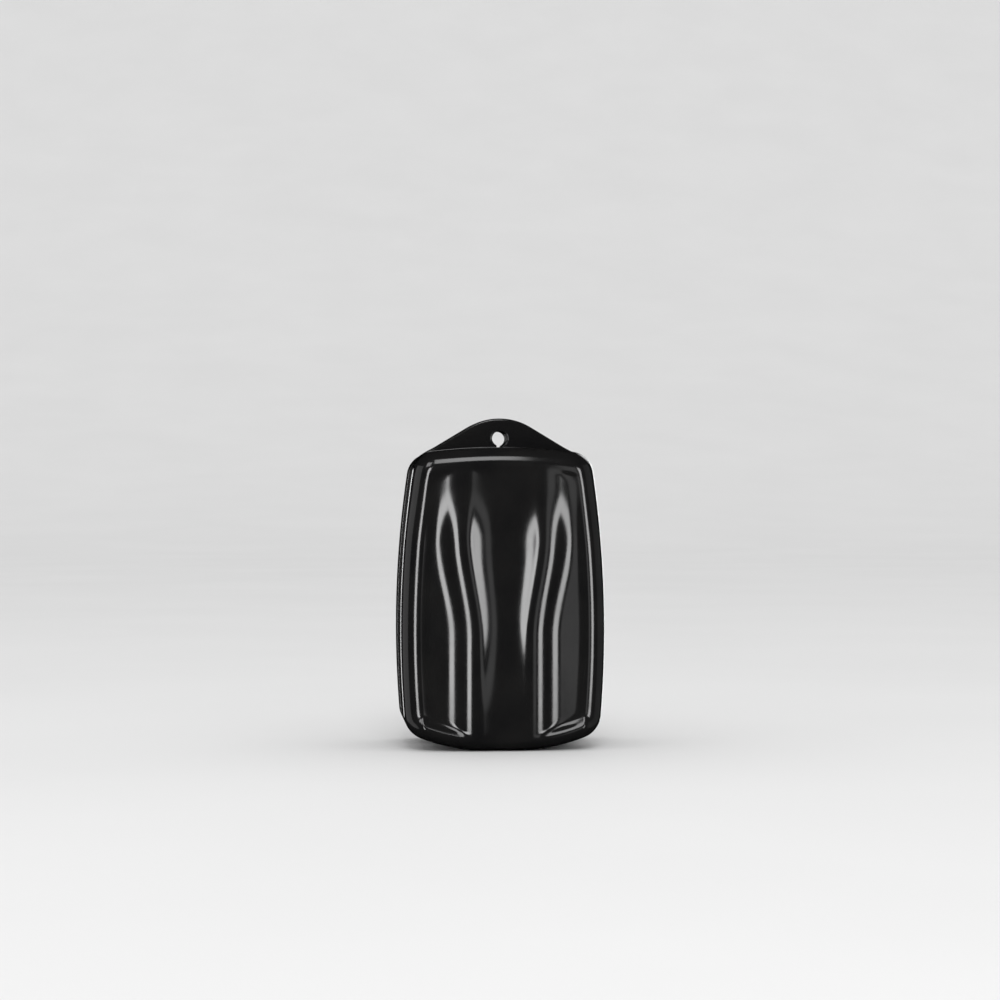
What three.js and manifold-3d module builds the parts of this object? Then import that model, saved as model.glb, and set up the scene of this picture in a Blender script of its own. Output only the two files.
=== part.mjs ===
// Magnetic glass cleaner for a small aquarium: two alike halves that hold each other through the glass.
// One half stays dry in the hand, the other works in the water. Each is a moulded casing with finger
// flutes and a cord tab, closed by a base plate that carries two magnets and a cleaning pad.
// Millimetres. +Z is up and -Y is the side of the hand. The origin is at the middle of the foot.
//
// Every piece of a half is drawn in the half's own frame: x across, y up from the foot, and z is the
// distance out from the middle plane, where the glass goes.

import * as THREE from 'three';
import { mergeVertices } from 'three/addons/utils/BufferGeometryUtils.js';
import Module from 'manifold-3d';

const wasm = await Module();
wasm.setup();

// Casing outline, seen from the front
const BODY_WIDTH = 54.4;
const BODY_HEIGHT = 80.3;
const SIDE_RADIUS = 285;
const WIDEST_HEIGHT = 32;
const FOOT_RADIUS = 50;
const FOOT_FLAT = 8;
const TOP_RADIUS = 150;
const FOOT_CORNER = 7;
const SHOULDER_CORNER = 6.5;

// Cord tab above the casing
const OVERALL_HEIGHT = 88.3;
const TAB_THICKNESS = 2.4;
const TAB_CROWN_RADIUS = 16.4;
const TAB_SLOPE = THREE.MathUtils.degToRad(31);
const TAB_HALF_WIDTH = 21;
const TAB_ROOT_HEIGHT = 76;
const KEYHOLE_RADIUS = 2;
const KEYHOLE_HEIGHT = 82.9;
const KEYHOLE_SLOT_WIDTH = 1.6;
const KEYHOLE_SLOT_REACH = 4;

// Casing in depth
const CASING_BACK = 2.3;
const SKIRT_TOP_SIDE = 14;
const SKIRT_TOP_END = 15;
const CASING_FACE = 20;
const RIM_INSET_SIDE = 4.9;
const RIM_INSET_TOP = 4.4;
const RIM_INSET_FOOT = 2.8;
const CROWN_ACROSS = 1.6;
const CROWN_ALONG = 0.4;

// Finger flutes: two side flutes and a middle channel, parted by two ribs that draw in towards the foot.
// A size given twice is the one at the foot and the one at the top.
const RIB_BEND = { foot: 30, top: 57 };
const RIB_OFFSET = { foot: 7.2, top: 10.8 };
const RIB_OUTER_FLANK = 8.5;
const RIB_INNER_FLANK = { foot: 6.4, top: 8.6 };
const SIDE_FLUTE_DEPTH = 1.6;
const MIDDLE_FLUTE_DEPTH = { foot: 0.25, top: 1.45 };
const MIDDLE_FLUTE_START = 10;
const MIDDLE_FLUTE_FULL = 57;
const FADE_START = 54;
const FADE_END = 70;
const FADED_SHARE = 0.3;
const OUTER_SHOULDER = 0.48;
const INNER_SHOULDER = 0.3;
const FOOT_WALL = 3.5;
const TOP_WALL = 3.5;
const SIDE_WALL = 9;
const SIDE_START = 0.65;
const JUNCTION_SOFTNESS = 0.3;
const CORNER_SOFTNESS = 0.6;

// Inside the casing
const CLEARANCE = 0.3;
const RIM_WALL = 1.8;
const LEDGE_INSET = 3.6;
const PAD_THICKNESS = 2.5;
const PAD_INSET = 2.4;
const TAPE_THICKNESS = 0.5;
const TAPE_INSET = 4.5;
const PLATE_THICKNESS = 1.5;
const GASKET_THICKNESS = 0.6;
const MAGNET = { width: 36, height: 25, thickness: 6 };
const MAGNET_SPACING = 27.4;
const KEEPER_THICKNESS = 1.2;
const FOAM_THICKNESS = 1;
const STACK_WIDTH = 36;
const STACK_HEIGHT = 52.4;
const STACK_CENTRE = 39.5;
const PEG_RADIUS = 1.3;
const PEG_SPACING = 40;
const POCKET_WALL = 1.2;
const POCKET_HEIGHT = 2;
const RAIL_WIDTH = 1.2;
const RAIL_REACH = 4;

// Depth of each layer, counted out from the glass
const PAD_FRONT = CLEARANCE / 2;
const TAPE_FRONT = PAD_FRONT + PAD_THICKNESS + CLEARANCE;
const PLATE_FRONT = TAPE_FRONT + TAPE_THICKNESS + CLEARANCE;
const PLATE_BACK = PLATE_FRONT + PLATE_THICKNESS;
const GASKET_FRONT = PLATE_BACK + CLEARANCE;
const LEDGE = GASKET_FRONT + GASKET_THICKNESS + CLEARANCE;
const MAGNET_FRONT = PLATE_BACK + CLEARANCE;
const KEEPER_FRONT = MAGNET_FRONT + MAGNET.thickness + CLEARANCE;
const FOAM_FRONT = KEEPER_FRONT + KEEPER_THICKNESS + CLEARANCE;
const CEILING = FOAM_FRONT + FOAM_THICKNESS + CLEARANCE;

const CASING_PLASTIC = { color: 0x0b0b0c, roughness: 0.16, metalness: 0 };
const PLATE_PLASTIC = { color: 0x17181a, roughness: 0.5, metalness: 0 };
const FERRITE = { color: 0x2b2a2a, roughness: 0.7, metalness: 0.1 };
const ZINC_STEEL = { color: 0xa9adb2, roughness: 0.35, metalness: 1 };
const FOAM = { color: 0xd8d6cf, roughness: 0.95, metalness: 0 };
const SILICONE = { color: 0x8d3428, roughness: 0.6, metalness: 0 };
const TAPE = { color: 0xe6e4dc, roughness: 0.8, metalness: 0 };
const FELT = { color: 0x33353a, roughness: 0.95, metalness: 0 };
const SCRUB = { color: 0x1d2023, roughness: 0.85, metalness: 0 };

// Geometry helpers

const { clamp, lerp } = THREE.MathUtils;

const smoothstep = (low, high, value) => {
  const t = clamp((value - low) / (high - low), 0, 1);
  return t * t * (3 - 2 * t);
};

// The lesser of two values, with the corner between them rounded over the given width
const softMin = (a, b, width) => {
  const share = Math.max(width - Math.abs(a - b), 0) / width;
  return Math.min(a, b) - (share * share * width) / 4;
};

// A body for manifold-3d from a closed geometry, with its shared corners merged and slivers dropped
function solid(geometry) {
  const plain = geometry.clone();
  plain.deleteAttribute('normal');
  plain.deleteAttribute('uv');
  const merged = mergeVertices(plain, 1e-4);
  const corners = merged.index.array;
  const kept = [];
  for (let i = 0; i < corners.length; i += 3) {
    const [a, b, c] = [corners[i], corners[i + 1], corners[i + 2]];
    if (a !== b && b !== c && c !== a) kept.push(a, b, c);
  }
  const mesh = new wasm.Mesh({
    numProp: 3,
    vertProperties: new Float32Array(merged.attributes.position.array),
    triVerts: new Uint32Array(kept),
  });
  return new wasm.Manifold(mesh);
}

function geometryOf(body) {
  const { vertProperties, triVerts } = body.getMesh();
  const geometry = new THREE.BufferGeometry();
  geometry.setAttribute('position', new THREE.BufferAttribute(vertProperties, 3));
  geometry.setIndex(new THREE.BufferAttribute(triVerts, 1));
  geometry.computeVertexNormals();
  return geometry;
}

// A plate with the given outline, from one depth to another
function plate(shape, from, to, steps = 6) {
  const geometry = new THREE.ExtrudeGeometry(shape, {
    depth: to - from,
    bevelEnabled: false,
    curveSegments: steps,
  });
  return geometry.translate(0, 0, from);
}

function boxBetween(x0, x1, y0, y1, z0, z1) {
  const geometry = new THREE.BoxGeometry(x1 - x0, y1 - y0, z1 - z0);
  return geometry.translate((x0 + x1) / 2, (y0 + y1) / 2, (z0 + z1) / 2);
}

function roundedRectangle(width, height, radius, centreY) {
  const shape = new THREE.Shape();
  const [x, y] = [width / 2 - radius, height / 2 - radius];
  shape.absarc(x, centreY + y, radius, 0, Math.PI / 2);
  shape.absarc(-x, centreY + y, radius, Math.PI / 2, Math.PI);
  shape.absarc(-x, centreY - y, radius, Math.PI, 1.5 * Math.PI);
  shape.absarc(x, centreY - y, radius, 1.5 * Math.PI, 2 * Math.PI);
  return shape;
}

function roundHole(x, y, radius) {
  return new THREE.Path().absarc(x, y, radius, 0, 2 * Math.PI);
}

// Casing outline: a barrel shape of arcs that run into each other. Each arc has a centre, a radius and
// the angles where it starts and ends, and the list goes up the right side from the foot to the top.

// Centre of a fillet that touches two larger arcs from the inside, on the right of both centres
function filletCentre(first, second, radius) {
  const along = new THREE.Vector2().subVectors(second.centre, first.centre);
  const gap = along.length();
  const [a, b] = [first.radius - radius, second.radius - radius];
  const reach = (a * a - b * b + gap * gap) / (2 * gap);
  const offset = Math.sqrt(a * a - reach * reach);
  along.normalize();
  const middle = first.centre.clone().addScaledVector(along, reach);
  const side = new THREE.Vector2(-along.y, along.x);
  const ends = [1, -1].map((sign) => middle.clone().addScaledVector(side, sign * offset));
  return ends[0].x > ends[1].x ? ends[0] : ends[1];
}

function angleTo(from, to) {
  return Math.atan2(to.y - from.y, to.x - from.x);
}

function casingArcs() {
  const foot = { centre: new THREE.Vector2(FOOT_FLAT / 2, FOOT_RADIUS), radius: FOOT_RADIUS };
  const side = {
    centre: new THREE.Vector2(BODY_WIDTH / 2 - SIDE_RADIUS, WIDEST_HEIGHT),
    radius: SIDE_RADIUS,
  };
  const top = { centre: new THREE.Vector2(0, BODY_HEIGHT - TOP_RADIUS), radius: TOP_RADIUS };
  const heel = { centre: filletCentre(foot, side, FOOT_CORNER), radius: FOOT_CORNER };
  const shoulder = { centre: filletCentre(side, top, SHOULDER_CORNER), radius: SHOULDER_CORNER };
  const turns = [
    -Math.PI / 2,
    angleTo(foot.centre, heel.centre),
    angleTo(side.centre, heel.centre),
    angleTo(side.centre, shoulder.centre),
    angleTo(top.centre, shoulder.centre),
    Math.PI / 2,
  ];
  const steps = [4, 6, 13, 6, 5];
  return [foot, heel, side, shoulder, top].map((arc, i) => {
    return { ...arc, start: turns[i], end: turns[i + 1], steps: steps[i] };
  });
}

// Corners of the outline, set in from the casing's edge, anticlockwise from the middle of the foot
function outline(inset) {
  const right = [];
  for (const arc of casingArcs()) {
    for (let i = 0; i < arc.steps; i++) {
      const angle = lerp(arc.start, arc.end, i / arc.steps);
      const [c, s] = [Math.cos(angle), Math.sin(angle)];
      const reach = arc.radius - inset;
      right.push(new THREE.Vector2(arc.centre.x + reach * c, arc.centre.y + reach * s));
    }
  }
  const top = new THREE.Vector2(0, BODY_HEIGHT - inset);
  const left = right.map((p) => new THREE.Vector2(-p.x, p.y)).reverse();
  return [...right, top, ...left];
}

const outlineShape = (inset) => new THREE.Shape(outline(inset));

function ringShape(outerInset, innerInset) {
  const shape = outlineShape(outerInset);
  shape.holes.push(new THREE.Path(outline(innerInset)));
  return shape;
}

// Face of the casing

// A size that changes as the ribs bend apart towards the top
function alongRib(size, y) {
  return lerp(size.foot, size.top, smoothstep(RIB_BEND.foot, RIB_BEND.top, y));
}

// How far down a flute's wall is: 0 on the crest, over a round shoulder, to 1 at the floor
function flute(distance, shoulder) {
  const n = Math.min(distance, 1);
  if (n < shoulder) return n ** 2 / shoulder;
  return 1 - (1 - n) ** 2 / (1 - shoulder);
}

// Distance in from the crest of the rim that runs round the face, as a share of the wall inside it
function fromRim(x, y) {
  const across = Math.abs(x);
  const sideReach = SIDE_RADIUS - RIM_INSET_SIDE;
  const footReach = FOOT_RADIUS - RIM_INSET_FOOT;
  const topReach = TOP_RADIUS - RIM_INSET_TOP;
  const side = sideReach - Math.hypot(across + SIDE_RADIUS - BODY_WIDTH / 2, y - WIDEST_HEIGHT);
  const foot = footReach - Math.hypot(Math.max(across - FOOT_FLAT / 2, 0), y - FOOT_RADIUS);
  const top = topReach - Math.hypot(across, y + TOP_RADIUS - BODY_HEIGHT);
  const fromSide = SIDE_START + Math.max(side, 0) / SIDE_WALL;
  const fromEnd = y < BODY_HEIGHT / 2 ? foot / FOOT_WALL : top / TOP_WALL;
  return Math.max(softMin(fromSide, fromEnd, CORNER_SOFTNESS), 0);
}

// Depth of the middle channel's floor, which runs out towards the foot
function channelDepth(y) {
  const ramp = (y - MIDDLE_FLUTE_START) / (MIDDLE_FLUTE_FULL - MIDDLE_FLUTE_START);
  return lerp(MIDDLE_FLUTE_DEPTH.foot, MIDDLE_FLUTE_DEPTH.top, clamp(ramp, 0, 1));
}

function faceDepth(x, y) {
  const crown = CROWN_ACROSS * Math.abs((2 * x) / BODY_WIDTH) ** 3
    + CROWN_ALONG * ((2 * y) / BODY_HEIGHT - 1) ** 2;
  const pastRib = Math.abs(x) - alongRib(RIB_OFFSET, y);
  const [flank, shoulder, floor] = pastRib > 0
    ? [RIB_OUTER_FLANK, OUTER_SHOULDER, SIDE_FLUTE_DEPTH]
    : [alongRib(RIB_INNER_FLANK, y), INNER_SHOULDER, channelDepth(y)];
  const nearest = softMin(Math.abs(pastRib) / flank, fromRim(x, y), JUNCTION_SOFTNESS);
  const fade = lerp(1, FADED_SHARE, smoothstep(FADE_START, FADE_END, y));
  return CASING_FACE - crown - floor * fade * flute(Math.max(nearest, 0), shoulder);
}

// Outer skin of the casing: rings from the middle of its back, out to the edge, up the skirt, over the
// rounded rim and in across the fluted face to a line along its middle
function casingSkin() {
  const SPINE_LOW = 12;
  const SPINE_HIGH = 68;
  const WALL_STEPS = 7;
  const FACE_STEPS = 18;
  const spine = (p) => new THREE.Vector2(0, clamp(p.y, SPINE_LOW, SPINE_HIGH));
  const edge = outline(0);
  const facing = outline(-1).map((p, i) => p.sub(edge[i]));
  const rimInset = facing.map((n) => {
    return lerp(n.y > 0 ? RIM_INSET_TOP : RIM_INSET_FOOT, RIM_INSET_SIDE, n.x ** 2);
  });
  const skirtTop = facing.map((n) => lerp(SKIRT_TOP_END, SKIRT_TOP_SIDE, n.x ** 2));
  const setIn = (i, inset) => edge[i].clone().addScaledVector(facing[i], -inset);
  const crest = edge.map((p, i) => setIn(i, rimInset[i]));
  const rings = [
    edge.map((p) => new THREE.Vector3(0, spine(p).y, CASING_BACK)),
    edge.map((p) => new THREE.Vector3(p.x, p.y, CASING_BACK)),
  ];
  for (let k = 0; k < WALL_STEPS; k++) {
    const turn = ((k / WALL_STEPS) * Math.PI) / 2;
    rings.push(crest.map((p, i) => {
      const q = setIn(i, rimInset[i] * (1 - Math.cos(turn)));
      const depth = lerp(skirtTop[i], faceDepth(p.x, p.y), Math.sin(turn));
      return new THREE.Vector3(q.x, q.y, depth);
    }));
  }
  for (let k = 0; k <= FACE_STEPS; k++) {
    rings.push(crest.map((p) => {
      const q = p.clone().lerp(spine(p), k / FACE_STEPS);
      return new THREE.Vector3(q.x, q.y, faceDepth(q.x, q.y));
    }));
  }
  return loft(rings);
}

// Joins rings of equally many points with pairs of triangles
function loft(rings) {
  const count = rings[0].length;
  const positions = rings.flat().flatMap((p) => [p.x, p.y, p.z]);
  const index = [];
  for (let k = 0; k + 1 < rings.length; k++) {
    for (let i = 0; i < count; i++) {
      const next = (i + 1) % count;
      const [a, b] = [k * count + i, k * count + next];
      const [c, d] = [a + count, b + count];
      index.push(a, b, d, a, d, c);
    }
  }
  const geometry = new THREE.BufferGeometry();
  geometry.setAttribute('position', new THREE.Float32BufferAttribute(positions, 3));
  geometry.setIndex(index);
  return geometry;
}

// Low dome between two straight slopes, with its root inside the casing
function tabShape() {
  const shape = new THREE.Shape();
  const centre = OVERALL_HEIGHT - TAB_CROWN_RADIUS;
  const [start, end] = [Math.PI / 2 - TAB_SLOPE, Math.PI / 2 + TAB_SLOPE];
  const crownEdge = TAB_CROWN_RADIUS * Math.sin(TAB_SLOPE);
  const slopeFoot = centre + TAB_CROWN_RADIUS * Math.cos(TAB_SLOPE)
    - (TAB_HALF_WIDTH - crownEdge) * Math.tan(TAB_SLOPE);
  shape.moveTo(-TAB_HALF_WIDTH, TAB_ROOT_HEIGHT);
  shape.lineTo(TAB_HALF_WIDTH, TAB_ROOT_HEIGHT);
  shape.lineTo(TAB_HALF_WIDTH, slopeFoot);
  shape.absarc(0, centre, TAB_CROWN_RADIUS, start, end);
  shape.lineTo(-TAB_HALF_WIDTH, slopeFoot);
  return shape;
}

// Round hole with a narrow slot below it, for a knotted cord
function keyholeShape() {
  const half = KEYHOLE_SLOT_WIDTH / 2;
  const corner = Math.asin(half / KEYHOLE_RADIUS);
  const foot = KEYHOLE_HEIGHT - KEYHOLE_SLOT_REACH;
  const shape = new THREE.Shape();
  shape.moveTo(-half, foot);
  shape.lineTo(half, foot);
  shape.absarc(0, KEYHOLE_HEIGHT, KEYHOLE_RADIUS, corner - Math.PI / 2, 1.5 * Math.PI - corner);
  return shape;
}

// Pieces of one half

function casing() {
  const tabFront = CASING_BACK + TAB_THICKNESS;
  const overCut = 1;
  let body = solid(casingSkin());
  body = body.add(solid(plate(tabShape(), CASING_BACK, tabFront)));
  body = body.subtract(solid(plate(outlineShape(RIM_WALL), CASING_BACK - overCut, LEDGE)));
  body = body.subtract(solid(plate(outlineShape(LEDGE_INSET), LEDGE - overCut, CEILING)));
  body = body.subtract(solid(plate(keyholeShape(), CASING_BACK - overCut, tabFront + overCut)));
  for (const feature of [...pegs(), ...rails()]) body = body.add(solid(feature));
  return geometryOf(body);
}

// Two pegs under the ceiling that locate the foam and the keeper plate
function pegs() {
  const length = CEILING + 1 - KEEPER_FRONT;
  return [-1, 1].map((end) => {
    const peg = new THREE.CylinderGeometry(PEG_RADIUS, PEG_RADIUS, length, 12);
    peg.rotateX(Math.PI / 2);
    return peg.translate(0, STACK_CENTRE + (end * PEG_SPACING) / 2, KEEPER_FRONT + length / 2);
  });
}

// Rails under the ceiling, on both sides of the keeper plate
function rails() {
  const inner = STACK_WIDTH / 2 + CLEARANCE;
  const half = STACK_HEIGHT / 2;
  const [low, high] = [STACK_CENTRE - half, STACK_CENTRE + half];
  return [-1, 1].map((side) => {
    const [a, b] = [side * inner, side * (inner + RAIL_WIDTH)];
    return boxBetween(Math.min(a, b), Math.max(a, b), low, high, CEILING - RAIL_REACH, CEILING + 1);
  });
}

// Plate that closes the casing, with a low wall round each magnet
function basePlate() {
  const gap = CLEARANCE;
  let body = solid(plate(outlineShape(RIM_WALL + gap), PLATE_FRONT, PLATE_BACK));
  for (const centre of magnetCentres()) {
    const inner = { width: MAGNET.width + 2 * gap, height: MAGNET.height + 2 * gap };
    const outer = { width: inner.width + 2 * POCKET_WALL, height: inner.height + 2 * POCKET_WALL };
    const wall = roundedRectangle(outer.width, outer.height, 1.5, centre);
    const pocket = roundedRectangle(inner.width, inner.height, 0.6, centre);
    const rim = solid(plate(wall, PLATE_BACK - 0.5, PLATE_BACK + POCKET_HEIGHT, 3));
    body = body.add(rim.subtract(solid(plate(pocket, PLATE_BACK - 1, CEILING, 3))));
  }
  return geometryOf(body);
}

function magnetCentres() {
  return [1, -1].map((end) => STACK_CENTRE + (end * MAGNET_SPACING) / 2);
}

function magnet(centre) {
  const shape = roundedRectangle(MAGNET.width - 0.6, MAGNET.height - 0.6, 0.7, centre);
  const geometry = new THREE.ExtrudeGeometry(shape, {
    depth: MAGNET.thickness - 0.6,
    bevelThickness: 0.3,
    bevelSize: 0.3,
    bevelSegments: 1,
    curveSegments: 2,
  });
  return geometry.translate(0, 0, MAGNET_FRONT + 0.3);
}

// Flat rectangle with the two peg holes, for the keeper plate and the foam
function peggedPlate(from, thickness, corner) {
  const shape = roundedRectangle(STACK_WIDTH, STACK_HEIGHT, corner, STACK_CENTRE);
  for (const end of [-1, 1]) {
    const y = STACK_CENTRE + (end * PEG_SPACING) / 2;
    shape.holes.push(roundHole(0, y, PEG_RADIUS + CLEARANCE));
  }
  return plate(shape, from, from + thickness, 3);
}

const gasket = () => plate(ringShape(RIM_WALL + 2 * CLEARANCE, LEDGE_INSET), GASKET_FRONT,
  GASKET_FRONT + GASKET_THICKNESS);
const tape = () => plate(outlineShape(TAPE_INSET), TAPE_FRONT, TAPE_FRONT + TAPE_THICKNESS);
const pad = () => plate(outlineShape(PAD_INSET), PAD_FRONT, PAD_FRONT + PAD_THICKNESS);

function piece(name, geometry, material) {
  const mesh = new THREE.Mesh(geometry, new THREE.MeshStandardMaterial(material));
  mesh.name = name;
  return mesh;
}

function half(side, padName, padMaterial) {
  const [upper, lower] = magnetCentres();
  const group = new THREE.Group();
  group.name = `${side}_half`;
  group.add(
    piece(`${side}_casing`, casing(), CASING_PLASTIC),
    piece(`${side}_base_plate`, basePlate(), PLATE_PLASTIC),
    piece(`${side}_seal_gasket`, gasket(), SILICONE),
    piece(`${side}_magnet_upper`, magnet(upper), FERRITE),
    piece(`${side}_magnet_lower`, magnet(lower), FERRITE),
    piece(`${side}_keeper_plate`, peggedPlate(KEEPER_FRONT, KEEPER_THICKNESS, 2), ZINC_STEEL),
    piece(`${side}_foam_shim`, peggedPlate(FOAM_FRONT, FOAM_THICKNESS, 2), FOAM),
    piece(`${side}_pad_tape`, tape(), TAPE),
    piece(padName, pad(), padMaterial),
  );
  return group;
}

// The half in the hand looks towards -Y, and the half in the water is turned half round from it
const outerHalf = half('outer', 'outer_felt_pad', FELT);
outerHalf.rotation.x = Math.PI / 2;

const innerHalf = half('inner', 'inner_scrub_pad', SCRUB);
innerHalf.rotation.x = Math.PI / 2;
const innerTurn = new THREE.Group();
innerTurn.rotation.z = Math.PI;
innerTurn.add(innerHalf);

const cleaner = new THREE.Group();
cleaner.name = 'magnetic_glass_cleaner';
cleaner.add(outerHalf, innerTurn);

export default cleaner;
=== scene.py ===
import math

import bmesh
import bpy
import numpy as np
from mathutils import Matrix, Vector, noise


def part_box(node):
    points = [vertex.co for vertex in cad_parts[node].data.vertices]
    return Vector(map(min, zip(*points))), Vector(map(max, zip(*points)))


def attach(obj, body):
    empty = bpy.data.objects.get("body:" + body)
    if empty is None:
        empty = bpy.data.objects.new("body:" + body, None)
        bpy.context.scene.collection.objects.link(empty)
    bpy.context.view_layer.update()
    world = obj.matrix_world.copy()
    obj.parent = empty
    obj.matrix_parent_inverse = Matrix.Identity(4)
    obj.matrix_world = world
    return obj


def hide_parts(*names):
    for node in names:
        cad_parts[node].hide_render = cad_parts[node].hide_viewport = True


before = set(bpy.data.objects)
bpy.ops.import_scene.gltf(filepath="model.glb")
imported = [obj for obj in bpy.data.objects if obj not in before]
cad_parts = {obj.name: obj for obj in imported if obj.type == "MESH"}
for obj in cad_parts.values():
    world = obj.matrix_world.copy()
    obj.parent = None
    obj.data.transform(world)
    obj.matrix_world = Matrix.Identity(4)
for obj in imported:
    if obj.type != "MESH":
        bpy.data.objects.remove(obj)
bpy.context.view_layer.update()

# A small magnetic glass cleaner: two alike halves, each a fluted gloss casing with a cord tab, a base
# plate and a pad. A half is drawn in millimetres in its own frame: x across, y up from the foot, and z
# is the depth out from the middle plane, where the glass goes. to_row turns that into the row's frame.

MM = 0.001

CASING_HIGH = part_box("outer_casing")[1]
PAD_LOW, PAD_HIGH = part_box("outer_felt_pad")
BODY_WIDTH = 54.4
OVERALL_HEIGHT = CASING_HIGH.z / MM
CASING_BACK = -CASING_HIGH.y / MM

# Casing outline, the same arcs as the CAD casing
BODY_HEIGHT = 80.3
SIDE_RADIUS = 285.0
WIDEST_HEIGHT = 32.0
FOOT_RADIUS = 50.0
FOOT_FLAT = 8.0
TOP_RADIUS = 150.0
FOOT_CORNER = 7.0
SHOULDER_CORNER = 6.5
OUTLINE_STEP = 0.55

TAB_THICKNESS = 2.4
TAB_CROWN_RADIUS = 16.4
TAB_SLOPE = math.radians(31)
TAB_FADE = (18.5, 23.0)
TAB_BLEND = 1.5
TAB_EDGE_RADIUS = 0.55
TAB_ROOT_FILLET = 0.35
KEYHOLE_RADIUS = 2.0
KEYHOLE_HEIGHT = 82.9
KEYHOLE_SLOT_WIDTH = 1.6
KEYHOLE_SLOT_REACH = 4.0

SKIRT_TOP_SIDE = 14.0
SKIRT_TOP_END = 15.0
CASING_FACE = 20.0
RIM_INSET_SIDE = 4.9
RIM_INSET_TOP = 4.4
RIM_INSET_FOOT = 2.8
CROWN_ACROSS = 1.6
CROWN_ALONG = 0.4

# Fluted face. RIB_BEND, MIDDLE_FLUTE_RAMP and TOP_FADE are heights that a change starts and ends at. Any
# other pair is a measure at the foot and at the top.
RIB_BEND = (30.0, 57.0)
RIB_OFFSET = (7.2, 10.8)
RIB_OUTER_FLANK = 8.5
RIB_INNER_FLANK = (6.4, 8.6)
SIDE_FLUTE_DEPTH = 1.6
MIDDLE_FLUTE_DEPTH = (0.25, 1.45)
MIDDLE_FLUTE_RAMP = (10.0, 57.0)
TOP_FADE = (54.0, 70.0)
TOP_FLUTE_SHARE = 0.3
OUTER_SHOULDER = 0.48
INNER_SHOULDER = 0.3
FOOT_WALL = 3.5
TOP_WALL = 3.5
SIDE_WALL = 9.0
SIDE_START = 0.65
JUNCTION_SOFTNESS = 0.3
CORNER_SOFTNESS = 0.6

RIM_WALL = 1.8
LEDGE_INSET = 3.6
LEDGE = 6.45
CEILING = 14.65
SPINE = (12.0, 68.0)

PAD_INSET = 2.4
PAD_FRONT = -PAD_HIGH.y / MM
PAD_BACK = -PAD_LOW.y / MM
PAD_SEAT = 0.25
PAD_CLEARANCE = 0.02

# Fineness of the drawn surfaces: rings or points in each stretch, and lengths in metres that are merged
BACK_STEPS = 8
TAB_STEPS = 10
SKIRT_STEPS = 5
RIM_STEPS = 25
FACE_STEPS = 61
EDGE_STEPS = 5
FILLET_STEPS = 7
PAD_FACE_STEPS = 46
EYE_STEPS = 49
HEEL_STEPS = 13
SWEEP_STEPS = 41
MERGE_DISTANCE = 2e-6
SLIVER_LENGTH = 1e-6


# Shapes


def smoothstep(low, high, value):
    t = np.clip((value - low) / (high - low), 0, 1)
    return t * t * (3 - 2 * t)


def soft_min(a, b, width):
    share = np.maximum(width - np.abs(a - b), 0) / width
    return np.minimum(a, b) - share * share * width / 4


def soft_max(a, b, width):
    return -soft_min(-a, -b, width)


def fillet_centre(first, second, radius):
    """Centre of a fillet that touches two larger arcs from the inside, on the right of both."""
    (c1, r1), (c2, r2) = first, second
    c1, c2 = np.array(c1), np.array(c2)
    gap = np.linalg.norm(c2 - c1)
    a, b = r1 - radius, r2 - radius
    reach = (a * a - b * b + gap * gap) / (2 * gap)
    along = (c2 - c1) / gap
    offset = math.sqrt(a * a - reach * reach)
    ends = [c1 + reach * along + s * offset * np.array([-along[1], along[0]]) for s in (1, -1)]
    return max(ends, key=lambda p: p[0])


def casing_outline():
    """Points of the casing's edge and their outward normals, anticlockwise from the middle of the foot."""
    foot = ((FOOT_FLAT / 2, FOOT_RADIUS), FOOT_RADIUS)
    side = ((BODY_WIDTH / 2 - SIDE_RADIUS, WIDEST_HEIGHT), SIDE_RADIUS)
    top = ((0.0, BODY_HEIGHT - TOP_RADIUS), TOP_RADIUS)
    heel = (tuple(fillet_centre(foot, side, FOOT_CORNER)), FOOT_CORNER)
    shoulder = (tuple(fillet_centre(side, top, SHOULDER_CORNER)), SHOULDER_CORNER)

    def turn(arc, towards):
        return math.atan2(towards[0][1] - arc[0][1], towards[0][0] - arc[0][0])

    turns = [-math.pi / 2, turn(foot, heel), turn(side, heel)]
    turns += [turn(side, shoulder), turn(top, shoulder), math.pi / 2]
    flat = np.arange(0, FOOT_FLAT / 2, OUTLINE_STEP)
    points = [np.stack([flat, 0 * flat], 1)]
    normals = [np.stack([0 * flat, 0 * flat - 1], 1)]
    for (centre, radius), start, end in zip((foot, heel, side, shoulder, top), turns, turns[1:]):
        steps = max(int(radius * (end - start) / OUTLINE_STEP), 2)
        angle = np.linspace(start, end, steps, endpoint=False)
        normal = np.stack([np.cos(angle), np.sin(angle)], 1)
        points.append(np.array(centre) + radius * normal)
        normals.append(normal)
    points, normals = np.concatenate(points), np.concatenate(normals)
    mirror = np.array([-1, 1])
    points = np.concatenate([points, [[0, BODY_HEIGHT]], (points[1:] * mirror)[::-1]])
    normals = np.concatenate([normals, [[0, 1]], (normals[1:] * mirror)[::-1]])
    return points, normals


EDGE, EDGE_NORMAL = casing_outline()


def ring(inset, depth):
    """The outline set in by a distance, at a depth. Either may differ from point to point."""
    flat = EDGE - EDGE_NORMAL * np.reshape(inset, (-1, 1))
    return np.column_stack([flat, np.broadcast_to(depth, len(flat))])


def spine_of(flat):
    return np.stack([0 * flat[:, 0], np.clip(flat[:, 1], *SPINE)], 1)


def along_rib(pair, y):
    """A measure that changes from the foot to the top as the ribs bend apart."""
    return pair[0] + (pair[1] - pair[0]) * smoothstep(*RIB_BEND, y)


def flute(distance, shoulder):
    """How far down a flute's wall is: 0 on the ridge, over a round shoulder, to 1 at its floor."""
    n = np.clip(distance, 0, 1)
    return np.where(n < shoulder, n**2 / shoulder, 1 - (1 - n) ** 2 / (1 - shoulder))


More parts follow.
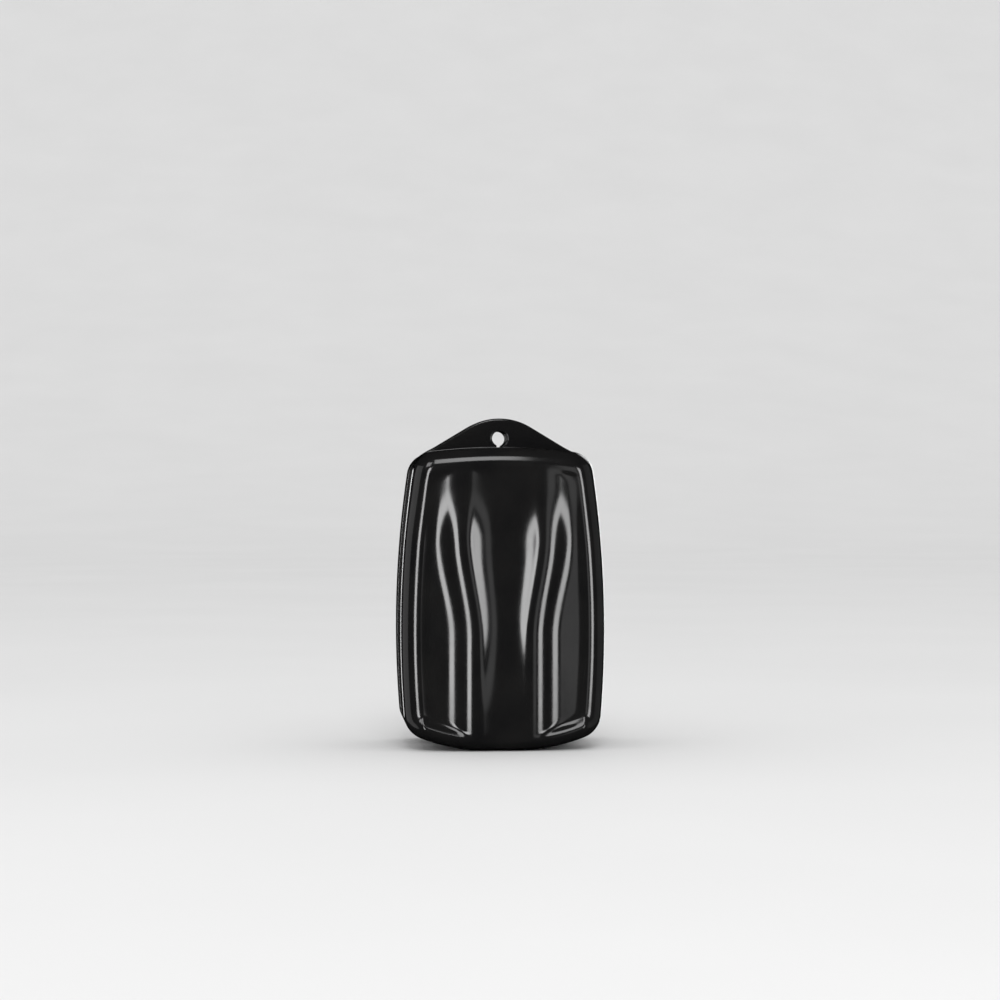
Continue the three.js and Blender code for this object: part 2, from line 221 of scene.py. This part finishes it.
def face_depth(x, y):
    """How far out the face is: its crown, less the flutes, which fade towards the rim and the top."""
    across = np.abs(x)
    crown = CROWN_ACROSS * (2 * across / BODY_WIDTH) ** 3 + CROWN_ALONG * (2 * y / BODY_HEIGHT - 1) ** 2
    past_rib = across - along_rib(RIB_OFFSET, y)
    outside = past_rib > 0
    to_rib = np.abs(past_rib) / np.where(outside, RIB_OUTER_FLANK, along_rib(RIB_INNER_FLANK, y))
    side = SIDE_RADIUS - RIM_INSET_SIDE - np.hypot(across + SIDE_RADIUS - BODY_WIDTH / 2, y - WIDEST_HEIGHT)
    foot = FOOT_RADIUS - RIM_INSET_FOOT - np.hypot(np.maximum(across - FOOT_FLAT / 2, 0), y - FOOT_RADIUS)
    top = TOP_RADIUS - RIM_INSET_TOP - np.hypot(across, y + TOP_RADIUS - BODY_HEIGHT)
    to_end = np.where(y < BODY_HEIGHT / 2, foot / FOOT_WALL, top / TOP_WALL)
    to_side = SIDE_START + np.maximum(side, 0) / SIDE_WALL
    to_rim = np.maximum(soft_min(to_side, to_end, CORNER_SOFTNESS), 0)
    shoulder = np.where(outside, OUTER_SHOULDER, INNER_SHOULDER)
    nearest = np.maximum(soft_min(to_rib, to_rim, JUNCTION_SOFTNESS), 0)
    ramp = np.clip((y - MIDDLE_FLUTE_RAMP[0]) / (MIDDLE_FLUTE_RAMP[1] - MIDDLE_FLUTE_RAMP[0]), 0, 1)
    middle = MIDDLE_FLUTE_DEPTH[0] + (MIDDLE_FLUTE_DEPTH[1] - MIDDLE_FLUTE_DEPTH[0]) * ramp
    fade = 1 - (1 - TOP_FLUTE_SHARE) * smoothstep(*TOP_FADE, y)
    channel = np.where(outside, SIDE_FLUTE_DEPTH, middle) * fade * flute(nearest, shoulder)
    return CASING_FACE - crown - channel


def tab_outline():
    """The casing's edge with the cord tab added, its outward normals, and how far the tab reaches up."""
    x, y = np.abs(EDGE[:, 0]), EDGE[:, 1]
    centre = OVERALL_HEIGHT - TAB_CROWN_RADIUS
    crown_edge = TAB_CROWN_RADIUS * math.sin(TAB_SLOPE)
    dome = centre + np.sqrt(np.maximum(TAB_CROWN_RADIUS**2 - np.minimum(x, crown_edge) ** 2, 0))
    tab_top = dome - np.maximum(x - crown_edge, 0) * math.tan(TAB_SLOPE)
    rise = soft_max(tab_top - y, 0, TAB_BLEND) * (1 - smoothstep(*TAB_FADE, x))
    least_rise = 0.02
    rise = np.where((y > BODY_HEIGHT / 2) & (rise > least_rise), rise, 0)
    points = EDGE + np.stack([0 * rise, rise], 1)
    along = np.roll(points, -1, 0) - np.roll(points, 1, 0)
    normals = np.stack([along[:, 1], -along[:, 0]], 1)
    normals /= np.linalg.norm(normals, axis=1, keepdims=True)
    return points, np.where(rise[:, None] > 0, normals, EDGE_NORMAL), rise


def at_depth(flat, depth):
    return np.column_stack([flat, np.broadcast_to(depth, len(flat))])


def blend_rings(first, last, steps):
    return [first + (last - first) * k / steps for k in range(1, steps + 1)]


def casing_rings():
    """Rings of the whole casing: cavity, ledge, back edge, cord tab, skirt, rounded rim and fluted face."""
    lip = 0.3
    cove, cove_step = 0.8, 0.2
    rings = [at_depth(spine_of(EDGE), CEILING)]
    rings += [ring(LEDGE_INSET + cove, CEILING), ring(LEDGE_INSET + cove_step, CEILING - cove_step)]
    rings += [ring(LEDGE_INSET, CEILING - cove), ring(LEDGE_INSET, LEDGE), ring(RIM_WALL, LEDGE)]
    rings += [ring(RIM_WALL, CASING_BACK + lip), ring(RIM_WALL - lip / 3, CASING_BACK + lip / 3)]
    rings.append(ring(RIM_WALL - lip, CASING_BACK))

    tab, tab_normal, rise = tab_outline()
    front = CASING_BACK + TAB_THICKNESS
    quarter = np.linspace(0, math.pi / 2, EDGE_STEPS)
    rings += blend_rings(rings[-1], at_depth(tab - tab_normal * lip, CASING_BACK), BACK_STEPS)
    for a in quarter[1:]:
        flat = tab - tab_normal * lip * (1 - math.sin(a))
        rings.append(at_depth(flat, CASING_BACK + lip * (1 - math.cos(a))))
    round_in = np.minimum(TAB_EDGE_RADIUS, rise / 2)[:, None]
    for a in quarter:
        flat = tab - tab_normal * round_in * (1 - math.cos(a))
        rings.append(at_depth(flat, front - TAB_EDGE_RADIUS * (1 - math.sin(a))))

    def raised(height):
        return EDGE + np.stack([0 * rise, np.minimum(height, rise)], 1)

    rings += blend_rings(rings[-1], at_depth(raised(TAB_ROOT_FILLET), front), TAB_STEPS)
    for a in np.linspace(0, math.pi / 2, FILLET_STEPS)[1:]:
        height = TAB_ROOT_FILLET * (1 - math.sin(a))
        rings.append(at_depth(raised(height), front + TAB_ROOT_FILLET * (1 - math.cos(a))))
    sideways = EDGE_NORMAL[:, 0] ** 2
    skirt_top = SKIRT_TOP_END + (SKIRT_TOP_SIDE - SKIRT_TOP_END) * sideways
    rings += blend_rings(rings[-1], ring(0, skirt_top), SKIRT_STEPS)

    end_inset = np.where(EDGE_NORMAL[:, 1] > 0, RIM_INSET_TOP, RIM_INSET_FOOT)
    rim_inset = end_inset + (RIM_INSET_SIDE - end_inset) * sideways
    crest = EDGE - EDGE_NORMAL * rim_inset[:, None]
    rim_depth = face_depth(crest[:, 0], crest[:, 1])
    for a in np.linspace(0, math.pi / 2, RIM_STEPS)[1:-1]:
        depth = skirt_top + (rim_depth - skirt_top) * math.sin(a)
        rings.append(ring(rim_inset * (1 - math.cos(a)), depth))
    for t in np.linspace(0, 1, FACE_STEPS):
        flat = crest + (spine_of(crest) - crest) * t
        rings.append(at_depth(flat, face_depth(flat[:, 0], flat[:, 1])))
    return rings


def keyhole_rings():
    """Cutter for the keyhole, flared at both faces of the tab so that its edge comes out rounded."""
    half = KEYHOLE_SLOT_WIDTH / 2
    corner = math.asin(half / KEYHOLE_RADIUS)
    foot = KEYHOLE_HEIGHT - KEYHOLE_SLOT_REACH + half
    angle = np.linspace(corner - math.pi / 2, 1.5 * math.pi - corner, EYE_STEPS)
    normal = np.stack([np.cos(angle), np.sin(angle)], 1)
    eye = np.array([0, KEYHOLE_HEIGHT]) + KEYHOLE_RADIUS * normal
    turn = np.linspace(math.pi, 2 * math.pi, HEEL_STEPS)
    heel_normal = np.stack([np.cos(turn), np.sin(turn)], 1)
    heel = np.array([0, foot]) + half * heel_normal
    flat, normals = np.concatenate([eye, heel]), np.concatenate([normal, heel_normal])
    flare = 0.4
    overshoot = 1
    front = CASING_BACK + TAB_THICKNESS
    rings = [at_depth(flat + normals * flare, CASING_BACK - overshoot)]
    for a in np.linspace(0, math.pi / 2, EDGE_STEPS):
        shape = flat + normals * flare * (1 - math.sin(a))
        rings.append(at_depth(shape, CASING_BACK + flare * (1 - math.cos(a))))
    for a in np.linspace(math.pi / 2, 0, EDGE_STEPS):
        shape = flat + normals * flare * (1 - math.sin(a))
        rings.append(at_depth(shape, front - flare * (1 - math.cos(a))))
    rings.append(at_depth(flat + normals * flare, front + overshoot))
    return rings


def to_row(points, half):
    """From a half's own frame in millimetres to the row's frame in metres."""
    x, y, z = np.asarray(points).T * MM
    return np.stack([x, -z, y] if half == "outer" else [-x, z, y], 1)


def loft(name, rings, half, capped=False):
    """A mesh object that joins rings of equally many points with quads, in the row's frame."""
    count = len(rings[0])
    verts = to_row(np.concatenate(rings), half)
    here = np.arange(count)
    after = (here + 1) % count
    faces = []
    for k in range(len(rings) - 1):
        low, high = k * count, (k + 1) * count
        faces += np.stack([low + here, low + after, high + after, high + here], 1).tolist()
    if capped:
        faces.append(here[::-1].tolist())
        faces.append((here + (len(rings) - 1) * count).tolist())
    return mesh_object(name, verts, faces)


def mesh_object(name, verts, faces):
    mesh = bpy.data.meshes.new(name)
    mesh.from_pydata([tuple(v) for v in verts], [], faces)
    bm = bmesh.new()
    bm.from_mesh(mesh)
    bmesh.ops.remove_doubles(bm, verts=bm.verts, dist=MERGE_DISTANCE)
    bmesh.ops.dissolve_degenerate(bm, edges=bm.edges, dist=SLIVER_LENGTH)
    bm.to_mesh(mesh)
    bm.free()
    mesh.shade_smooth()
    obj = bpy.data.objects.new(name, mesh)
    bpy.context.scene.collection.objects.link(obj)
    return obj


def apply_modifiers(obj):
    graph = bpy.context.evaluated_depsgraph_get()
    mesh = bpy.data.meshes.new_from_object(obj.evaluated_get(graph))
    obj.modifiers.clear()
    obj.data = mesh
    return obj


def cut(obj, cutter):
    boolean = obj.modifiers.new("cut", "BOOLEAN")
    boolean.operation = "DIFFERENCE"
    boolean.solver = "MANIFOLD"
    boolean.object = cutter
    apply_modifiers(obj)
    bpy.data.objects.remove(cutter)
    return obj


# Materials


class Surface:
    """A Principled material built from nodes, with object coordinates for its patterns."""

    def __init__(self, name, roughness=0.5, metallic=0.0, **sockets):
        self.material = bpy.data.materials.new(name)
        self.material.use_nodes = True
        self.nodes = self.material.node_tree.nodes
        self.links = self.material.node_tree.links
        self.shader = self.nodes["Principled BSDF"]
        self.shader.inputs["Roughness"].default_value = roughness
        self.shader.inputs["Metallic"].default_value = metallic
        for socket, value in sockets.items():
            self.shader.inputs[socket.replace("_", " ")].default_value = value
        self.coords = self.nodes.new("ShaderNodeTexCoord").outputs["Object"]

    def node(self, kind, inputs=None, **settings):
        node = self.nodes.new(kind)
        for key, value in settings.items():
            setattr(node, key, value)
        for key, value in (inputs or {}).items():
            if isinstance(value, bpy.types.NodeSocket):
                self.links.new(value, node.inputs[key])
            else:
                node.inputs[key].default_value = value
        return node

    def stretched(self, scale):
        return self.node("ShaderNodeMapping", {"Vector": self.coords, "Scale": scale}).outputs["Vector"]

    def noise(self, scale, detail=4.0, roughness=0.5, vector=None):
        inputs = {"Vector": vector or self.coords, "Scale": scale, "Detail": detail, "Roughness": roughness}
        return self.node("ShaderNodeTexNoise", inputs).outputs["Fac"]

    def ramp(self, value, *stops):
        """A colour ramp. Each stop is a position and a grey value or a colour."""
        node = self.node("ShaderNodeValToRGB", {"Fac": value})
        elements = node.color_ramp.elements
        while len(elements) < len(stops):
            elements.new(0.5)
        for element, (place, colour) in zip(elements, stops):
            element.position = place
            if isinstance(colour, (int, float)):
                colour = (colour,) * 3
            element.color = (*colour, 1)
        return node.outputs["Color"]

    def scaled(self, value, low, high):
        node = self.node("ShaderNodeMapRange", {"Value": value, "To Min": low, "To Max": high})
        return node.outputs["Result"]

    def math(self, operation, a, b):
        return self.node("ShaderNodeMath", {0: a, 1: b}, operation=operation).outputs["Value"]

    def drive(self, socket, value):
        self.links.new(value, self.shader.inputs[socket])

    def bump(self, height, strength, distance, normal=None):
        inputs = {"Height": height, "Strength": strength, "Distance": distance}
        if normal:
            inputs["Normal"] = normal
        return self.node("ShaderNodeBump", inputs).outputs["Normal"]


def gloss_casing():
    s = Surface("casing_gloss_black", IOR=1.5)
    dark, light = (0.005, 0.005, 0.0053), (0.008, 0.0078, 0.0077)
    s.drive("Base Color", s.ramp(s.noise(90, 5), (0.3, dark), (0.7, light)))
    haze = s.ramp(s.noise(55, 6, 0.6), (0.35, 0.1), (0.7, 0.16))
    fine = s.scaled(s.noise(900, 2), -0.02, 0.02)
    s.drive("Roughness", s.math("ADD", haze, fine))
    swell = s.bump(s.noise(70, 2), 0.25, 0.00012)
    peel = s.bump(s.noise(1100, 2), 0.05, 0.00003, swell)
    s.drive("Normal", peel)
    return s.material


def satin_plate():
    s = Surface("plate_satin_black", roughness=0.5)
    s.drive("Base Color", s.ramp(s.noise(200), (0.3, 0.018), (0.7, 0.03)))
    s.drive("Roughness", s.scaled(s.noise(700, 3), 0.42, 0.6))
    s.drive("Normal", s.bump(s.noise(2500, 2), 0.3, 0.00005))
    return s.material


def felt():
    s = Surface("felt_charcoal", roughness=0.95, Sheen_Weight=0.35, Sheen_Roughness=0.5)
    fibres = s.noise(900, 6, 0.7, s.stretched((1, 1, 0.25)))
    cross = s.noise(900, 6, 0.7, s.stretched((0.25, 1, 1)))
    mat = s.math("ADD", fibres, cross)
    dark, light = (0.016, 0.017, 0.02), (0.075, 0.078, 0.088)
    s.drive("Base Color", s.ramp(s.math("MULTIPLY", mat, 0.5), (0.3, dark), (0.7, light)))
    s.drive("Normal", s.bump(mat, 0.8, 0.0003))
    return s.material


def scrub_pile():
    s = Surface("scrub_pile_black", roughness=0.6, Sheen_Weight=0.15)
    s.drive("Base Color", s.ramp(s.noise(700, 4), (0.3, (0.01, 0.012, 0.015)), (0.7, (0.035, 0.04, 0.048))))
    s.drive("Roughness", s.scaled(s.noise(1500, 3), 0.45, 0.8))
    s.drive("Normal", s.bump(s.noise(3500, 3), 0.4, 0.00008))
    return s.material


def plain(name, dark, light, rough=(0.5, 0.7), grain=1200, metallic=0.0, depth=0.00005):
    """A surface with a fine grain, for the pieces inside the halves."""
    s = Surface(name, metallic=metallic)
    s.drive("Base Color", s.ramp(s.noise(grain / 6, 4), (0.3, dark), (0.7, light)))
    s.drive("Roughness", s.scaled(s.noise(grain / 2, 3), *rough))
    s.drive("Normal", s.bump(s.noise(grain, 3), 0.35, depth))
    return s.material


def stage_surface():
    s = Surface("pale_stage", roughness=0.9, Specular_IOR_Level=0.1)
    s.drive("Base Color", s.ramp(s.noise(6, 3), (0.3, 0.78), (0.7, 0.8)))
    return s.material


# Pieces


def make_casings(material):
    outer = loft("hand_casing", casing_rings(), "outer")
    cut(outer, loft("keyhole", keyhole_rings(), "outer", capped=True))
    outer.data.shade_smooth()
    mesh = outer.data.copy()
    mesh.transform(Matrix.Rotation(math.pi, 4, "Z"))
    inner = bpy.data.objects.new("wet_casing", mesh)
    bpy.context.scene.collection.objects.link(inner)
    for piece, half in ((outer, "outer"), (inner, "inner")):
        piece.data.materials.clear()
        piece.data.materials.append(material)
        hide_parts(f"{half}_casing")
        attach(piece, f"{half}_half")
    return outer, inner


def pad_rings(front, back, edge):
    """A slab with the pad's outline and rounded edges, from its back to its front."""
    rings = [at_depth(spine_of(EDGE), back)]
    rings += [ring(PAD_INSET + edge + gap, back) for gap in (12, 6, 3, 1.5, 0.6)]
    for a in np.linspace(0, math.pi / 2, FILLET_STEPS):
        rings.append(ring(PAD_INSET + edge * (1 - math.sin(a)), back - edge * (1 - math.cos(a))))
    for a in np.linspace(math.pi / 2, 0, FILLET_STEPS):
        rings.append(ring(PAD_INSET + edge * (1 - math.sin(a)), front + edge * (1 - math.cos(a))))
    crest = EDGE - EDGE_NORMAL * (PAD_INSET + edge)
    for t in np.linspace(0, 1, PAD_FACE_STEPS)[1:]:
        flat = crest + (spine_of(crest) - crest) * t
        rings.append(at_depth(flat, front))
    return rings[::-1]


def roughen(obj, amount, scale, seed):
    """Moves each point along its normal by a little noise, inwards only."""
    offset = Vector((seed, 0.37 * seed, 0))
    places = [v.co.copy() for v in obj.data.vertices]
    normals = [v.normal.copy() for v in obj.data.vertices]
    moved = []
    for place, normal in zip(places, normals):
        lift = 0.5 + 0.5 * noise.fractal(place * scale + offset, 1.0, 2.0, 4)
        moved.extend(place - normal * amount * min(max(lift, 0), 1))
    obj.data.vertices.foreach_set("co", moved)
    obj.data.update()


def make_felt_pad(material):
    pad = loft("felt_pad", pad_rings(PAD_FRONT + PAD_CLEARANCE, PAD_BACK + PAD_SEAT, 0.7), "outer")
    roughen(pad, amount=0.00022, scale=900, seed=3.0)
    pad.data.materials.append(material)
    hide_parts("outer_felt_pad")
    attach(pad, "outer_half")


def make_scrub_pad(material):
    pile_height = 1.15
    pad = loft("scrub_backing", pad_rings(PAD_FRONT + pile_height, PAD_BACK + PAD_SEAT, 0.4), "inner")
    roughen(pad, amount=0.0001, scale=1200, seed=8.0)
    pad.data.materials.append(material)
    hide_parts("inner_scrub_pad")
    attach(pad, "inner_half")

    pile = mesh_object("scrub_pile", *pile_mesh(pile_height))
    pile.data.materials.append(material)
    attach(pile, "inner_half")


def inside_edge(x, y, inset):
    """Whether a place lies inside the outline set in by a distance."""
    gaps = ((np.array([x, y]) - EDGE) * EDGE_NORMAL).sum(1)
    return gaps.max() < -inset


def pile_mesh(height):
    """Bent tapering tufts in a staggered grid over the wet pad's face."""
    rng = np.random.default_rng(12)
    pitch, row_share = 1.45, 0.87
    scatter, lean_spread = 0.12, 0.22
    shortest, tallest = 0.82, 0.98
    root = 0.1
    edge_margin = 0.9
    sides = 6
    levels = np.array([0, 0.45, 0.8, 1.0])
    radii = np.array([0.34, 0.3, 0.24, 0.09])
    turn = np.linspace(0, 2 * math.pi, sides, endpoint=False)
    verts, faces = [], []
    rows = int(BODY_HEIGHT / (pitch * row_share))
    columns = int(BODY_WIDTH / pitch)
    for row in range(rows):
        for column in range(-columns // 2, columns // 2 + 1):
            x = (column + 0.5 * (row % 2)) * pitch + rng.normal(0, scatter)
            y = row * pitch * row_share + rng.normal(0, scatter)
            bend = rng.normal(0, lean_spread, 2)
            tall = height * rng.uniform(shortest, tallest)
            spin = rng.uniform(0, math.pi)
            if not inside_edge(x, y, PAD_INSET + edge_margin):
                continue
            base = len(verts)
            for level, radius in zip(levels, radii):
                lean = bend * level**2
                z = PAD_FRONT + height + root - (tall + root) * level
                for angle in turn + spin:
                    across = x + lean[0] + radius * math.cos(angle)
                    up = y + lean[1] + radius * math.sin(angle)
                    verts.append((across, up, z))
            for k in range(len(levels) - 1):
                for i in range(sides):
                    j = (i + 1) % sides
                    low, high = base + k * sides, base + (k + 1) * sides
                    faces.append((low + j, low + i, high + i, high + j))
            faces.append(tuple(base + i for i in range(sides)))
            faces.append(tuple(base + (len(levels) - 1) * sides + i for i in reversed(range(sides))))
    return to_row(np.array(verts), "inner"), faces


def dress_nodes():
    """Materials for the CAD pieces that stay as they are."""
    looks = {
        "base_plate": satin_plate(),
        "seal_gasket": plain("gasket_silicone", (0.16, 0.025, 0.015), (0.24, 0.045, 0.028), (0.45, 0.65)),
        "magnet": plain("ferrite_dark", 0.02, 0.045, (0.55, 0.85), 2500, 0.1, 0.0001),
        "keeper_plate": plain("zinc_steel", 0.45, 0.62, (0.25, 0.45), 1500, 1.0, 0.00002),
        "foam_shim": plain(
            "foam_pale", (0.55, 0.53, 0.48), (0.72, 0.7, 0.65), (0.85, 1.0), grain=2500, depth=0.0003
        ),
        "pad_tape": plain(
            "tape_white", (0.62, 0.6, 0.56), (0.74, 0.72, 0.68), (0.7, 0.9), grain=2500, depth=0.0001
        ),
    }
    for name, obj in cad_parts.items():
        for part, material in looks.items():
            if part in name:
                for slot in obj.material_slots:
                    slot.material = material


# Stage, light and camera

VIEW_AZIMUTH = math.radians(-5)
VIEW_ASIDE = 0.5 * MM
VIEW_HEIGHT = 66.3 * MM
VIEW_DISTANCE = 0.62
VIEW_WIDTH = 0.2717
SENSOR = 36.0


def make_camera():
    camera = bpy.data.objects.new("camera", bpy.data.cameras.new("camera"))
    bpy.context.scene.collection.objects.link(camera)
    camera.data.sensor_width = SENSOR
    camera.data.lens = SENSOR * VIEW_DISTANCE / VIEW_WIDTH
    camera.data.clip_end = 20
    target = Vector((VIEW_ASIDE, 0, VIEW_HEIGHT))
    away = Vector((math.sin(VIEW_AZIMUTH), -math.cos(VIEW_AZIMUTH), 0))
    camera.location = target + away * VIEW_DISTANCE
    camera.rotation_euler = (-away).to_track_quat("-Z", "Y").to_euler()
    bpy.context.scene.camera = camera


def make_stage(material):
    """A pale floor that sweeps up into a backdrop behind the object, and is hidden from reflections."""
    reach, back, radius, height, width = 12.0, 8.0, 6.0, 8.0, 16.0
    profile = [(-reach, 0.0), (back - radius, 0.0)]
    for a in np.linspace(0, math.pi / 2, SWEEP_STEPS)[1:]:
        profile.append((back - radius + radius * math.sin(a), radius * (1 - math.cos(a))))
    profile.append((back, height))
    verts = [(x, y, z) for y, z in profile for x in (-width, width)]
    faces = [(2 * i, 2 * i + 1, 2 * i + 3, 2 * i + 2) for i in range(len(profile) - 1)]
    floor = mesh_object("floor", verts, faces)
    floor.data.materials.append(material)
    floor.visible_glossy = False


def soft_light(name, place, aim, size, power, lit=None):
    """A soft box that looks at a place. With a collection given, it lights only what is in it."""
    data = bpy.data.lights.new(name, "AREA")
    data.shape = "RECTANGLE"
    data.size, data.size_y = size
    data.energy = power
    light = bpy.data.objects.new(name, data)
    bpy.context.scene.collection.objects.link(light)
    light.location = place
    light.rotation_euler = (Vector(aim) - Vector(place)).to_track_quat("-Z", "Y").to_euler()
    light.light_linking.receiver_collection = lit


def around(azimuth, distance, height):
    """A place round the object: azimuth 0 is in front of it and 90 is on its +X side."""
    a = math.radians(azimuth)
    return (math.sin(a) * distance, -math.cos(a) * distance, height)


def make_lights(casings):
    """Soft boxes before and behind the object and two walls beside it, which light only the gloss casings,
    and a top box and a white world, which light everything. The world is hidden from reflections."""
    middle = (0, 0, 0.04)
    reach = 0.8
    gloss = bpy.data.collections.new("gloss")
    for casing in casings:
        gloss.objects.link(casing)

    def gloss_light(name, place, size, power):
        soft_light(name, place, middle, size, power, gloss)

    for side, turn, strength in (("front", 0, 1.0), ("back", 180, 0.6)):
        gloss_light(f"{side}_left_core", around(turn - 20, reach, 0.04), (0.14, 0.3), 1.5 * strength)
        gloss_light(f"{side}_left_high", around(turn - 34, reach, 0.5), (0.3, 0.3), 1.3 * strength)
        gloss_light(f"{side}_right_core", around(turn + 32, reach, 0.04), (0.15, 0.3), 1.3 * strength)
        gloss_light(f"{side}_right_fill", around(turn + 16, reach, 0.02), (0.11, 0.26), 0.08 * strength)
    gloss_light("left_wall", around(-85, 0.9, 0.1), (0.8, 0.8), 1.6)
    gloss_light("right_wall", around(85, 0.9, 0.1), (0.8, 0.8), 0.4)
    soft_light("top_front", around(-2, reach, 0.74), middle, (0.32, 0.5), 2.8)
    world = bpy.data.worlds.new("studio")
    bpy.context.scene.world = world
    world.use_nodes = True
    world.node_tree.nodes["Background"].inputs["Color"].default_value = (1, 1, 1, 1)
    world.node_tree.nodes["Background"].inputs["Strength"].default_value = 0.95
    world.cycles_visibility.glossy = False
    bpy.context.scene.view_settings.view_transform = "Standard"


make_camera()
casings = make_casings(gloss_casing())
make_felt_pad(felt())
make_scrub_pad(scrub_pile())
dress_nodes()
make_stage(stage_surface())
make_lights(casings)
